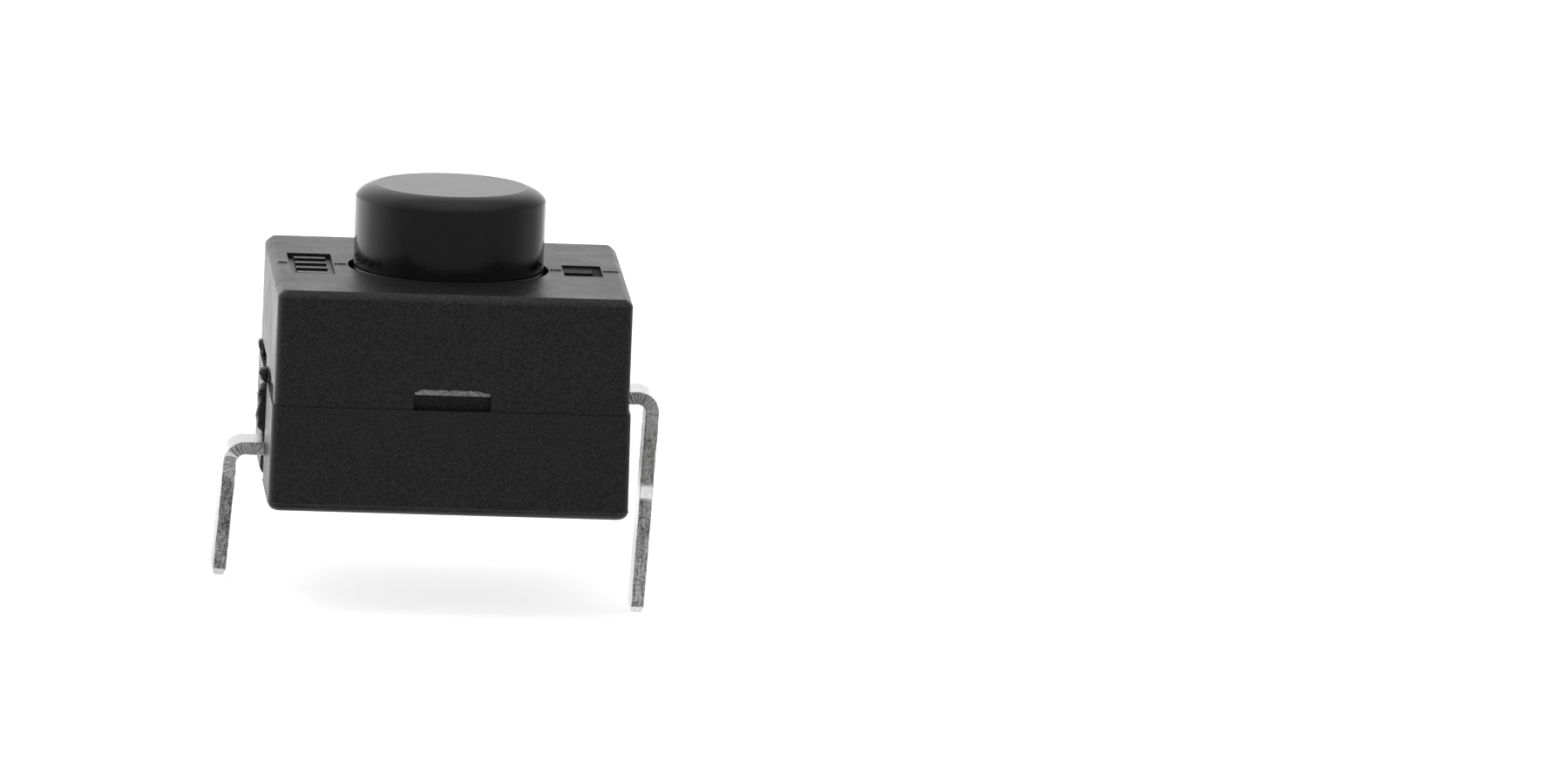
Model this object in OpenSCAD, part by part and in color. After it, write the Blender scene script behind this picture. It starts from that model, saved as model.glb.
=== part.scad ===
// Self-locking push button switch, 12 mm square, with two bent tin-plated leads.
// Millimetres. +Z up, +X to the right, the front face looks along -Y.
// The origin is the centre of the flat face under the base.

/* [Housing] */
// Width and depth of the base
base_w = 11.94; // [11:0.02:13]
// Width and depth of the cover
cover_w = 11.84; // [11:0.02:13]
// Height of the closed housing
body_h = 7.45; // [7:0.05:9]
// Height of the line where base and cover meet
split_z = 3.55; // [3:0.05:4]
// Rounding of the outer edges
edge_r = 0.35; // [0.1:0.05:0.6]
// Thickness of the side walls
wall = 0.87; // [0.7:0.01:1]
// Thickness of the base's floor
floor_t = 1.05; // [0.8:0.05:1.2]
// Thickness of the cover's top
top_t = 0.95; // [0.7:0.05:1.2]

/* [Windows and recesses] */
// Height of the windows in the cover's lower rim, above the parting line
window_h = 0.5; // [0.46:0.02:0.8]
// Length of the front and back windows
face_window = 2.58; // [1:0.02:4]
// Length of the side windows near the front
front_window = 3.64; // [3:0.02:3.7]
// Length of the side windows near the back
back_window = 3.13; // [2:0.02:3.5]
// Width of the tapered recess in each side of the base
recess_w = 2.3; // [1.8:0.05:3]
// Depth of that recess
recess_d = 0.47; // [0.2:0.01:0.6]
// Length along X of the left recess in the top
left_mark_w = 1.47; // [1:0.01:1.6]
// Length along Y of the left recess in the top
left_mark_l = 4.12; // [2:0.02:6]
// Length along X of the right recess in the top
right_mark_w = 1.3; // [1:0.01:1.6]
// Length along Y of the right recess in the top
right_mark_l = 2.2; // [1:0.02:5]

/* [Button] */
// Radius of the button above the cover
button_r = 3.17; // [3:0.01:3.3]
// Height of the button above the cover when it is out
button_out = 2.8; // [2:0.05:4]
// Rounding of the button's top edge
button_edge = 0.5; // [0.2:0.05:0.9]
// How far the button goes down when it is pressed home
travel = 2.0; // [1:0.05:2.2]
// Radial clearance of the button in the cover's top
hole_gap = 0.16; // [0.06:0.01:0.3]
// Wall of the hollow button
button_wall = 0.98; // [0.8:0.02:1.1]

/* [Ratchet] */
// Number of guide slots, button fins and rotor lugs
slots = 4; // [3:1:4]
// Outer radius of the fins and the lugs
lug_r = 4.15; // [3.8:0.05:4.2]
// Half of the angle of a button fin
fin_half = 17; // [14:0.5:18]
// Angle of a rotor lug
lug_angle = 16; // [10:1:18]
// Slope of the fin ends and lug tops, as a rise per length
lug_slope = 0.25; // [0.1:0.05:0.35]
// Depth of the notches that hold the lugs when latched
notch_h = 0.4; // [0.2:0.05:0.8]

/* [Spring and contacts] */
// Mean radius of the coil
coil_r = 1.42; // [1.3:0.01:1.45]
// Radius of the wire
wire_r = 0.16; // [0.1:0.01:0.18]
// Number of turns
coil_turns = 6; // [4:0.5:8]
// Thickness of the contact ring
ring_t = 0.2; // [0.15:0.01:0.3]
// Distance of the contact rivets from the middle
contact_x = 2.75; // [2.6:0.05:3]
// Radius of a rivet's head
rivet_r = 0.58; // [0.4:0.02:0.6]
// Height of a rivet's head
rivet_h = 0.25; // [0.15:0.01:0.35]

/* [Leads] */
// Thickness of the stamped strip
strip_t = 0.44; // [0.3:0.02:0.46]
// Inner radius of the bends outside the housing
bend_r = 0.28; // [0.1:0.02:0.32]
// Width of the leg of each lead
leg_w = 1.18; // [0.8:0.02:1.3]
// How far the left lead stands out of the base's side at its bend
left_reach = 1.38; // [1.2:0.02:2]
// How far the right lead stands out of the base's side at its bend
right_reach = 1.08; // [1.05:0.01:2]
// Length of the left leg below the base
left_len = 3.24; // [2:0.02:5]
// Length of the right leg below the base
right_len = 3.52; // [2:0.02:5]
// Outward lean of the left leg, in degrees
left_lean = 3.6; // [0:0.1:5]
// Inward lean of the right leg, in degrees
right_lean = 2.3; // [0:0.1:3]
// Place of the right leg's middle along Y
right_y = -3.03; // [-3.1:0.01:-2.9]
// Width of the left strip where it leaves the base
left_root_w = 1.74; // [1.3:0.02:1.8]
// Width of the right strip where it leaves the base
right_root_w = 1.8; // [1.6:0.02:2.3]

/* [Stakes] */
// Distance of the four posts from the sides of the base
stake_inset = 1.35; // [1.3:0.01:1.45]
// Radius of a post
stake_r = 0.65; // [0.5:0.01:0.7]
// Radius of the pocket around a melted head
pocket_r = 1.08; // [0.95:0.01:1.15]
// Depth of that pocket
pocket_d = 0.5; // [0.3:0.02:0.6]

/* [Hidden] */
$fn = 64;

fit = 0.05;                              // sliding clearance
eps = 0.01;                              // how far a cut runs past a face

// Housing
inner_w = base_w - 2 * wall;             // clear width inside the walls
ceiling_z = body_h - top_t;              // underside of the cover's top
stake_at = base_w / 2 - stake_inset;
boss_wall = 0.46;
boss_r = stake_r + boss_wall;            // column around each post
front_window_y = -stake_at - 0.16;       // front end of the side windows near the front
back_window_y = 1.24;                    // front end of the side windows near the back
mark_inset = 0.56;                       // from the cover's side to a recess in the top
left_mark_d = 0.16;
right_mark_d = 0.35;
rib_sink = 0.05;                         // the ribs in the recesses stay this much below the top

// Button and rotor
button_top = body_h + button_out;
bore_r = button_r - button_wall;         // hollow of the button
shaft_r = button_r + 0.03;               // the button inside the cover
fin_t = 0.6;                             // mean height of a fin
skirt_z = ceiling_z - fin_t;             // lower end of the button and seat of the rotor
guide_r = shaft_r + 0.04;                // bore of the guide ribs
slot_r = lug_r + 2 * fit;                // bottom of the guide slots
ring_r = slot_r + 0.53;                  // outside of the guide ribs
slot_half = fin_half + 1.5;              // half of the angle of a guide slot
fin_z = skirt_z - 0.05;                  // mean height of the slanted fin ends
lug_gap = 0.02;                          // between a slanted lug and its fin
lug_h = 1.15;                            // mean height of a lug
lug_z = fin_z - lug_h;

// Spring and contacts
strip_z = floor_t;                       // underside of the strips on the floor
contact_gap = 0.03;                      // left between ring and rivets when pressed home
ring_z = strip_z + strip_t + rivet_h + contact_gap + travel;
rotor_z = ring_z + ring_t;               // underside of the rotor
rib_gap = 0.33;                          // from the ring, with the button out, to the ribs
rib_z = rotor_z + rib_gap;               // lower ends of the guide ribs
rotor_r = shaft_r - 0.25;
stem_r = bore_r - fit;                   // rotor's stem, which turns in the button
stem_top = skirt_z + 1.5;
spring_top = stem_top - 0.7;             // seat of the spring inside the rotor
spring_gap = 0.14;                       // around and inside the coil
coil_out = coil_r + wire_r;
ring_in = coil_out + 2 * spring_gap;     // bore of the contact ring
ring_out = contact_x + 0.6;
peg_r = 0.3;
peg_at = (ring_in + rotor_r) / 2;        // circle of the rotor's pegs
shank_r = 0.3;                           // rivet in its strip

// Leads
root_offset = 0.23;                      // the left root is this much nearer the front than its leg
left_root_y = -left_root_w / 2 - root_offset;
right_root_y = right_y - right_root_w / 2;
left_root = [left_root_y, left_root_y + left_root_w];          // spans along Y
right_root = [right_root_y, right_root_y + right_root_w];
right_neck = [fit + boss_r - stake_at, right_root[1]];   // inside, beside the corner column
lead_exit = split_z + window_h - strip_t;                // underside of the right strip where it leaves
tip = 0.14;                              // chamfer at the ends of the legs
left_shoulder_z = strip_z;               // lower ends of the wide roots
right_shoulder_z = 0.97;
left_shoulder_h = 0.35;                  // height over which a root narrows to its leg
right_shoulder_h = 0.7;
strip_end = 0.75;                        // the strips run this far past their rivets

black = [0.13, 0.13, 0.135];
tin = [0.78, 0.78, 0.77];

// ---------- shared shapes ----------

// A square block standing on z = 0 with every edge rounded
module rounded_block(w, h, r) {
    c = w / 2 - r;
    translate([-c, -c, 0]) cube([2 * c, 2 * c, h]);
    translate([-w / 2, -c, r]) cube([w, 2 * c, h - 2 * r]);
    translate([-c, -w / 2, r]) cube([2 * c, w, h - 2 * r]);
    for (x = [-c, c], y = [-c, c]) {
        translate([x, y, r]) cylinder(r = r, h = h - 2 * r);
        for (z = [r, h - r]) translate([x, y, z]) sphere(r = r);
    }
    for (s = [-c, c], z = [r, h - r]) {
        translate([-c, s, z]) rotate([0, 90, 0]) cylinder(r = r, h = 2 * c);
        translate([s, c, z]) rotate([90, 0, 0]) cylinder(r = r, h = 2 * c);
    }
}

// A block centred on the axis, from z0 to z1
module slab(w, z0, z1) translate([-w / 2, -w / 2, z0]) cube([w, w, z1 - z0]);

// A pie slice from angle a0 to angle a1
module pie(r, a0, a1, h) {
    far = 1.5 * r;
    mid = (a0 + a1) / 2;
    linear_extrude(h) polygon([[0, 0], [far * cos(a0), far * sin(a0)],
        [far * cos(mid), far * sin(mid)], [far * cos(a1), far * sin(a1)]]);
}

// A piece of a tube from angle a0 to angle a1
module tube_piece(r0, r1, a0, a1, h) {
    intersection() {
        difference() {
            cylinder(r = r1, h = h);
            translate([0, 0, -eps]) cylinder(r = r0, h = h + 2 * eps);
        }
        pie(r1, a0, a1, h);
    }
}

// Everything above a plane through [0, 0, z] that rises along Y
module above_slope(z) {
    translate([0, 0, z]) rotate([atan(lug_slope), 0, 0]) slab(2 * base_w, 0, body_h);
}

module at_slots() for (i = [0:slots - 1]) rotate(45 + 360 / slots * i) children();

module at_stakes() for (x = [-stake_at, stake_at], y = [-stake_at, stake_at])
    translate([x, y, 0]) children();

module both_sides() for (side = [0, 1]) mirror([side, 0, 0]) children();

module front_and_back() for (side = [0, 1]) mirror([0, side, 0]) children();

// ---------- housing ----------

module rim_windows() {
    deep = wall + 0.5;
    z = split_z - eps;
    both_sides() {
        translate([-cover_w / 2 - eps, front_window_y, z]) cube([deep, front_window, window_h + eps]);
        translate([-cover_w / 2 - eps, back_window_y, z]) cube([deep, back_window, window_h + eps]);
    }
    front_and_back()
        translate([-face_window / 2, -cover_w / 2 - eps, z]) cube([face_window, deep, window_h + eps]);
}

// Four ribs between guide slots, each with a notch that holds a lug when latched
module guide_ribs() {
    tall = ceiling_z - rib_z;
    difference() {
        translate([0, 0, rib_z]) cylinder(r = ring_r, h = tall + eps);
        translate([0, 0, rib_z - eps]) cylinder(r = guide_r, h = tall + 3 * eps);
        at_slots() translate([0, 0, rib_z - eps]) {
            tube_piece(guide_r - eps, slot_r, -slot_half, slot_half, tall + eps);
            rotate(180 / slots)
                tube_piece(guide_r - eps, slot_r, -lug_angle / 2 - 1, lug_angle / 2 + 1, notch_h + eps);
        }
    }
}

// Shallow recesses in the top face, beside the button
module top_marks() {
    translate([mark_inset - cover_w / 2, -left_mark_l / 2, body_h - left_mark_d])
        cube([left_mark_w, left_mark_l, left_mark_d + eps]);
    translate([cover_w / 2 - mark_inset - right_mark_w - 0.2, -right_mark_l / 2, body_h - right_mark_d])
        cube([right_mark_w, right_mark_l, right_mark_d + eps]);
}

// Plain ribs on the floor of those recesses
module mark_ribs() {
    left_h = left_mark_d - rib_sink;
    for (y = [-0.2, 0.2])
        translate([mark_inset - cover_w / 2 + 0.25, y * left_mark_l - 0.15, body_h - left_mark_d - eps])
            cube([left_mark_w - 0.5, 0.3, left_h + eps]);
    translate([cover_w / 2 - mark_inset - right_mark_w - 0.2, 0.1, body_h - right_mark_d - eps])
        cube([right_mark_w, right_mark_l / 2 - 0.1, right_mark_d - rib_sink]);
}

module stake_post() {
    head_r = 0.8 * pocket_r;
    head_z = 0.14;
    dimple_r = 0.45;
    dimple_d = 0.13;
    translate([0, 0, pocket_d]) cylinder(r = stake_r, h = ceiling_z - pocket_d);
    difference() {
        translate([0, 0, head_z]) cylinder(r = head_r, h = pocket_d - head_z);
        translate([0, 0, head_z - eps]) cylinder(r = dimple_r, h = dimple_d + eps);
    }
}

module cover() {
    hole_r = button_r + hole_gap;
    hole_edge = 0.1;
    color(black) {
        difference() {
            intersection() {
                rounded_block(cover_w, body_h, edge_r);
                slab(2 * cover_w, split_z, body_h + eps);
            }
            difference() {
                slab(inner_w, split_z - eps, ceiling_z);
                at_stakes() cylinder(r = boss_r, h = body_h);
            }
            translate([0, 0, ceiling_z - eps]) cylinder(r = hole_r, h = top_t + 2 * eps);
            translate([0, 0, body_h - hole_edge])
                cylinder(r1 = hole_r, r2 = hole_r + hole_edge, h = hole_edge + eps);
            rim_windows();
            top_marks();
        }
        mark_ribs();
        guide_ribs();
        at_stakes() stake_post();
    }
}

module side_recess() {
    slant = 0.4;
    translate([base_w / 2 - recess_d, 0, -eps]) linear_extrude(split_z + 2 * eps)
        polygon([[0, slant - recess_w / 2], [recess_d + eps, -recess_w / 2],
            [recess_d + eps, recess_w / 2], [0, recess_w / 2 - slant]]);
}

// Rough stub left by the moulding gate, in the recess above the left lead
module gate_stub() {
    low = strip_z + strip_t + 0.2;
    high = split_z - 0.15;
    mid = (low + high) / 2;
    out = 0.33;
    sink = recess_d + 0.1;
    translate([-base_w / 2 - out, -0.42, low]) cube([out + sink, 0.84, mid - low + 0.1]);
    translate([0.08 - base_w / 2 - out, -0.5, mid]) cube([out + sink - 0.08, 0.9, high - mid]);
}

// Shallow round groove in the underside
module round_groove(r0, r1, depth) {
    difference() {
        translate([0, 0, -eps]) cylinder(r = r1, h = depth + eps);
        translate([0, 0, -2 * eps]) cylinder(r = r0, h = depth + 4 * eps);
    }
}

module base() {
    color(black) difference() {
        union() {
            difference() {
                intersection() {
                    rounded_block(base_w, body_h, edge_r);
                    slab(2 * base_w, -eps, split_z);
                }
                difference() {
                    slab(inner_w, floor_t, body_h);
                    at_stakes() cylinder(r = boss_r, h = body_h);
                }
                both_sides() side_recess();
            }
            gate_stub();
            translate([0, 0, floor_t - eps]) cylinder(r = coil_r - wire_r - spring_gap, h = 0.85);
            translate([inner_w / 2, right_root[0], split_z - eps])
                cube([wall, right_root[1] - right_root[0], lead_exit - split_z + eps]);
        }
        at_stakes() {
            translate([0, 0, -eps]) cylinder(r = stake_r + fit, h = body_h);
            translate([0, 0, -eps]) cylinder(r = pocket_r, h = pocket_d + eps);
        }
        translate([-base_w / 2 - eps, left_root[0], strip_z])
            cube([wall + 2 * eps, left_root[1] - left_root[0], strip_t]);
        round_groove(2.45, 2.7, 0.08);
    }
}

// ---------- moving parts ----------

module button() {
    shaft = button_top - button_edge;
    color(black) {
        difference() {
            union() {
                translate([0, 0, skirt_z]) cylinder(r = shaft_r, h = body_h - skirt_z);
                translate([0, 0, skirt_z]) cylinder(r = button_r, h = shaft - skirt_z);
                translate([0, 0, shaft]) rotate_extrude() {
                    square([button_r - button_edge, button_edge]);
                    translate([button_r - button_edge, 0]) intersection() {
                        circle(r = button_edge);
                        square(button_edge);
                    }
                }
            }
            translate([0, 0, skirt_z - eps]) cylinder(r = bore_r, h = shaft - skirt_z - 0.3);
        }
        at_slots() intersection() {
            translate([0, 0, lug_z])
                tube_piece(rotor_r + 2 * fit, lug_r, -fin_half, fin_half, ceiling_z - lug_z);
            above_slope(fin_z);
        }
    }
}

module rotor() {
    color([0.86, 0.86, 0.83]) {
        difference() {
            union() {
                translate([0, 0, rotor_z]) cylinder(r = rotor_r, h = skirt_z - rotor_z);
                translate([0, 0, rotor_z]) cylinder(r = stem_r, h = stem_top - rotor_z);
                at_slots() difference() {
                    translate([0, 0, lug_z])
                        tube_piece(rotor_r - fit, lug_r, -fin_half, lug_angle - fin_half, skirt_z - lug_z);
                    above_slope(fin_z - lug_gap);
                }
            }
            translate([0, 0, rotor_z - eps])
                cylinder(r = coil_out + spring_gap, h = spring_top - rotor_z + eps);
        }
        at_slots() translate([peg_at, 0, ring_z]) cylinder(r = peg_r, h = ring_t);
    }
}

module contact_ring() {
    color([0.85, 0.62, 0.36]) translate([0, 0, ring_z]) difference() {
        cylinder(r = ring_out, h = ring_t);
        translate([0, 0, -eps]) cylinder(r = ring_in, h = ring_t + 2 * eps);
        at_slots() translate([peg_at, 0, -eps]) cylinder(r = peg_r, h = ring_t + 2 * eps);
    }
}

// One side of the flat cut through a rising wire: wide at the middle and pointed at both ends
function coil_side(side, pitch, span, n) =
    [for (i = [-n:n]) let (a = span * i / n, lift = pitch * a / 360,
        half = sqrt(max(0, wire_r * wire_r - lift * lift)), r = coil_r + side * half)
        [r * cos(a), r * sin(a)]];

module return_spring() {
    height = spring_top - floor_t;
    pitch = height / coil_turns;
    span = 360 * wire_r / pitch;
    half_points = 3;
    outer = coil_side(1, pitch, span, half_points);
    inner = coil_side(-1, pitch, span, half_points);
    color([0.75, 0.75, 0.74]) translate([0, 0, floor_t])
        linear_extrude(height, twist = -360 * coil_turns, slices = 16 * coil_turns, $fn = 16)
            polygon(concat(outer, [for (i = [len(inner) - 2:-1:1]) inner[i]]));
}

// ---------- leads ----------

module side_extrude(y0, y1) translate([0, y1, 0]) rotate([90, 0, 0]) linear_extrude(y1 - y0) children();

module face_extrude(x0, x1) translate([x0, 0, 0]) rotate([90, 0, 90]) linear_extrude(x1 - x0) children();

// A bent strip, x measured outwards: a flat run, a bend and a leg that leans
module bent_strip(out, z, from_x, lean, low_z, y0, y1) {
    outer = bend_r + strip_t;
    cx = out - outer;
    cz = z - bend_r;
    leg = (cz - low_z) / cos(lean);
    far = 2 * outer;
    side_extrude(y0, y1) translate([from_x, z]) square([cx - from_x, strip_t]);
    side_extrude(y0, y1) translate([cx, cz]) intersection() {
        difference() {
            circle(r = outer);
            circle(r = bend_r);
        }
        polygon([[0, 0], [0, far], [far, far], [far * cos(lean), -far * sin(lean)]]);
    }
    side_extrude(y0, y1) translate([cx, cz]) rotate(-lean) polygon([[bend_r, 0], [outer, 0],
        [outer, tip - leg], [outer - tip, -leg], [bend_r + tip, -leg], [bend_r, tip - leg]]);
}

// The strip seen from the end, as a list of points: a wide root, shoulders and a narrow leg
function lead_face(root, leg, top, shoulder, leg_top, low) = [
    [root[0], top], [root[0], shoulder], [leg[0], leg_top], [leg[0], low + tip], [leg[0] + tip, low],
    [leg[1] - tip, low], [leg[1], low + tip], [leg[1], leg_top], [root[1], shoulder], [root[1], top]];

module left_lead() {
    leg = [-leg_w / 2, leg_w / 2];
    seen_from_end = lead_face(left_root, leg, split_z, left_shoulder_z,
        left_shoulder_z - left_shoulder_h, -left_len);
    color(tin) difference() {
        intersection() {
            mirror([1, 0, 0]) bent_strip(base_w / 2 + left_reach, strip_z, contact_x - strip_end,
                -left_lean, -left_len, left_root[0], left_root[1]);
            face_extrude(-base_w, 0) polygon(seen_from_end);
        }
        translate([-contact_x, 0, 0]) cylinder(r = shank_r, h = split_z);
    }
}

module right_lead() {
    leg = [right_y - leg_w / 2, right_y + leg_w / 2];
    step_x = stake_at + stake_r + fit;
    drop_x = inner_w / 2 - strip_t;
    foot_x = contact_x - strip_end;
    foot_w = 2 * strip_end;
    seen_from_end = lead_face(right_root, leg, body_h, right_shoulder_z,
        right_shoulder_z - right_shoulder_h, -right_len);
    color(tin) difference() {
        union() {
            intersection() {
                bent_strip(base_w / 2 + right_reach, lead_exit, step_x, right_lean,
                    -right_len, right_root[0], right_root[1]);
                face_extrude(0, base_w) polygon(seen_from_end);
            }
            side_extrude(right_neck[0], right_neck[1]) {
                translate([drop_x, lead_exit]) square([step_x - drop_x, strip_t]);
                translate([drop_x, strip_z]) square([strip_t, lead_exit - strip_z]);
                translate([foot_x, strip_z]) square([drop_x - foot_x, strip_t]);
            }
            translate([foot_x, right_neck[1], strip_z]) cube([foot_w, foot_w / 2 - right_neck[1], strip_t]);
        }
        translate([contact_x, 0, 0]) cylinder(r = shank_r, h = split_z);
    }
}

module contact_rivets() {
    color([0.86, 0.85, 0.82]) for (x = [-contact_x, contact_x]) translate([x, 0, strip_z]) {
        cylinder(r = shank_r, h = strip_t);
        translate([0, 0, strip_t]) cylinder(r = rivet_r, h = rivet_h);
    }
}

base();
cover();
button();
rotor();
contact_ring();
return_spring();
left_lead();
right_lead();
contact_rivets();
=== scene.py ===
"""Looks of the self-locking push button switch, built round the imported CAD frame.

Lengths are in millimetres until finish_piece() scales a mesh to metres.
"""
import math

import bpy
from mathutils import Matrix, Vector, noise


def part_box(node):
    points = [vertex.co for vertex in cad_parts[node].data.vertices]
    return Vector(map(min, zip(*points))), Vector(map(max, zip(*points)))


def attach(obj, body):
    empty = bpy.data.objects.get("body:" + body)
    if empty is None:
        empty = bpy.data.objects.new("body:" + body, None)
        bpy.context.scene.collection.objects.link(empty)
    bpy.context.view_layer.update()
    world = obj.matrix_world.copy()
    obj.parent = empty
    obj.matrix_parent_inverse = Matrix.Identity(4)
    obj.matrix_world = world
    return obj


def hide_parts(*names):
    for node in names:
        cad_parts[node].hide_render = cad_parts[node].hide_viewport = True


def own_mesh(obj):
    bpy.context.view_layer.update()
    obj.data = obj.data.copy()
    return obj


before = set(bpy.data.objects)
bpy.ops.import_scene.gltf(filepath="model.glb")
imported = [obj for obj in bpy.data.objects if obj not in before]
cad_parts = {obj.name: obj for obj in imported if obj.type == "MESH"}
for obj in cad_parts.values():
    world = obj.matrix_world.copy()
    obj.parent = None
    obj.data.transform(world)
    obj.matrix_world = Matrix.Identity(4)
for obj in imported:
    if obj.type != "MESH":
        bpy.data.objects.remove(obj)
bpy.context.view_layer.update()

MM = 0.001
WEAR_SEED = 2
noise.seed_set(WEAR_SEED)                # without it the worn edges and torn lumps differ from run to run


def box_mm(node):
    low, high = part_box(node)
    return low / MM, high / MM


# ---------- sizes, in millimetres ----------

PAST = 1.0                               # how far a cutter reaches past what it cuts
LAP = 0.1                                # the same for small cutters, and the overlap of joined solids

BASE_HALF = box_mm("base")[1].x          # half of the base's width
COVER_HALF = box_mm("cover")[1].x        # half of the cover's width
TOP_Z = box_mm("cover")[1].z             # top of the housing
BUTTON_TOP = box_mm("button")[1].z
GROUND_Z = box_mm("right_lead")[0].z     # the longer lead stands on the ground
SPLIT_Z = 3.55                           # the line where base and cover meet
EDGE_R = 0.24                            # size of the outer edges' rounding
TOP_ARC = (22, 50)                       # the part of a quarter circle it follows at the top, in degrees
FOOT_ARC = (8, 76)                       # and at the foot
CORNER_R = 0.4                           # rounding of the upright edges
COVER_DRAFT = (0.02, 0.02)               # how far the cover's sides stand out at its lower and upper end
BASE_DRAFT = (0.06, 0.03)                # and the base's
FOOT_LINE = 0.022                        # how far a fine line stands out above the foot's rounding
WALL = 0.87                              # thickness of the housing's sides
FLOOR_Z = 1.05                           # top of the base's floor
CEILING_Z = 6.5                          # underside of the cover's top
CAVITY_R = 0.2                           # rounding of the corners inside
CRISP = 0.03                             # rounding of all the housing's lesser edges

STAKE_AT = 4.62                          # distance of the four posts from the middle, both ways
STAKE_R = 0.65
STAKE_PLAY = 0.05                        # room round a post in its hole
BOSS_R = 1.11                            # radius of the thick part round a post
POCKET_R = 1.08                          # and of the pocket below it
POCKET_D = 0.5
GROOVE_R = (2.42, 2.75)                  # inner and outer radius of the ring groove in the underside
GROOVE_D = 0.14

WINDOW_DEPTH = WALL + 0.5
SIDE_WINDOWS = ((-4.78, -1.14), (1.24, 4.37))    # their spans along Y
SIDE_WINDOW_TOP = SPLIT_Z + 0.5
FRONT_WINDOW_HALF = 1.29
FRONT_WINDOW_TOP = SPLIT_Z + 0.56
NOTCH_D = 0.47                           # the upright recesses in the base beside the leads
NOTCH_HALF = (0.75, 1.25)                # half of their width, deep inside and at the face

LEFT_MARK = (-5.36, -3.89)               # span of the left recess in the top along X
LEFT_MARK_HALF = 2.06                    # and half of its length along Y
LEFT_MARK_D = 0.16
RIGHT_MARK = (3.86, 5.16)
RIGHT_MARK_HALF = 1.1
RIGHT_MARK_D = 0.35

BUTTON_R = 3.2
SHAFT_R = 3.22                           # the button's radius inside the housing
BORE_R = 2.19
SKIRT_Z = 5.9                            # lower end of the button
HOLE_R = 3.38
BUTTON_INSET = 0.66                      # rounding at the top of the button, inwards
BUTTON_DROP = 0.42                       # and downwards
BUTTON_ARC = (16, 70)                    # the part of a quarter circle it follows, in degrees
BUTTON_STEPS = 128                       # points round the button and its hole

FIN_R = (BORE_R + 0.84, 4.15)            # inner and outer radius of the button's four fins
GUIDE_R = (3.24, 4.78)                   # and of the ribs that guide them
FIN_HALF = 17                            # half of a fin's width, in degrees
GUIDE_HALF = 26.5                        # and of a rib's
GUIDE_Z = 4.3                            # lower ends of the ribs

STRIP_T = 0.44
STRIP_EDGE_R = 0.03
BEND_R = 0.28
TIP = 0.24                               # chamfer at the ends of the legs, across their width
TIP_EDGE = 0.06                          # and across their thickness
LEG_TWIST = 0.035                        # how far the legs are twisted, as a slope
CONTACT_X = 2.75                         # distance of the rivets from the middle
RIVET_HOLE_R = 0.3
PAD_HALF = 0.75                          # the strips run this far round their rivets
LEAD_EXIT = 3.61                         # underside of the right strip where it leaves
LEFT_ROOT = (-1.10, 0.64)                # spans of the wide roots along Y
RIGHT_ROOT = (-3.93, -2.13)
LEFT_LEG = (-0.59, 0.59)                 # and of the legs
RIGHT_LEG = (-3.62, -2.44)
LEFT_REACH = BASE_HALF + 1.38            # how far out the leads reach at their bends
RIGHT_REACH = BASE_HALF + 1.08
LEFT_LEAN = -3.6                         # lean of the legs in degrees, inwards when positive
RIGHT_LEAN = 2.3

COIL_R = 1.42
WIRE_R = 0.16
SPRING_TOP = 6.7
SEAT_R = COIL_R - WIRE_R - 0.14          # the boss on the floor that the spring stands round
SEAT_TOP = 1.9


# ---------- mesh tools ----------

def between(a, b, t):
    """A tuple part of the way from one to another, never past either."""
    t = min(1, max(0, t))
    return tuple(u + (v - u) * t for u, v in zip(a, b))


def wobble(x, row=0):
    """Smooth noise along a line; other rows give other noise."""
    return noise.noise(Vector((x, row, 0)))


def arc_steps(arc, steps):
    """How far in and how far up a rounding has come, from 0 to 1, along an arc given in degrees."""
    first, last = (math.radians(a) for a in arc)
    turns = [first + (last - first) * i / steps for i in range(steps + 1)]
    return [((math.cos(first) - math.cos(a)) / (math.cos(first) - math.cos(last)),
             (math.sin(a) - math.sin(first)) / (math.sin(last) - math.sin(first))) for a in turns]


def new_object(name, verts, faces):
    mesh = bpy.data.meshes.new(name)
    mesh.from_pydata(verts, [], faces)
    mesh.update()
    obj = bpy.data.objects.new(name, mesh)
    bpy.context.scene.collection.objects.link(obj)
    return obj


def loft(name, rings):
    """A closed solid through rings of points with equal counts, its two ends capped."""
    n = len(rings[0])
    verts = [p for ring in rings for p in ring]
    faces = [(a * n + i, a * n + (i + 1) % n, (a + 1) * n + (i + 1) % n, (a + 1) * n + i)
             for a in range(len(rings) - 1) for i in range(n)]
    faces.append(tuple(reversed(range(n))))
    faces.append(tuple(range(len(verts) - n, len(verts))))
    return new_object(name, verts, faces)


def circle(radius, z, at=(0, 0), steps=96):
    turn = 2 * math.pi / steps
    return [(at[0] + radius * math.cos(i * turn), at[1] + radius * math.sin(i * turn), z)
            for i in range(steps)]


def square_ring(half, radius, z, steps=8):
    """Points round a square with rounded corners."""
    c = half - radius
    ring = []
    for quarter, (sx, sy) in enumerate([(1, 1), (-1, 1), (-1, -1), (1, -1)]):
        for i in range(steps + 1):
            a = math.radians(90 * quarter + 90 * i / steps)
            ring.append((sx * c + radius * math.cos(a), sy * c + radius * math.sin(a), z))
    return ring


def cylinder(radius, z0, z1, at=(0, 0), steps=96):
    return loft("cylinder", [circle(radius, z0, at, steps), circle(radius, z1, at, steps)])


def prism(outline, z0, z1):
    """A block whose outline is given as seen from above, in x and y."""
    return loft("prism", [[(x, y, z) for x, y in outline] for z in (z0, z1)])


def wedge(x0, x1, side_view):
    """A block whose outline is given as seen from the side, in y and z."""
    return loft("wedge", [[(x, y, z) for y, z in side_view] for x in (x0, x1)])


def block(low, high):
    (x0, y0, z0), (x1, y1, z1) = low, high
    return prism([(x0, y0), (x1, y0), (x1, y1), (x0, y1)], z0, z1)


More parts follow.
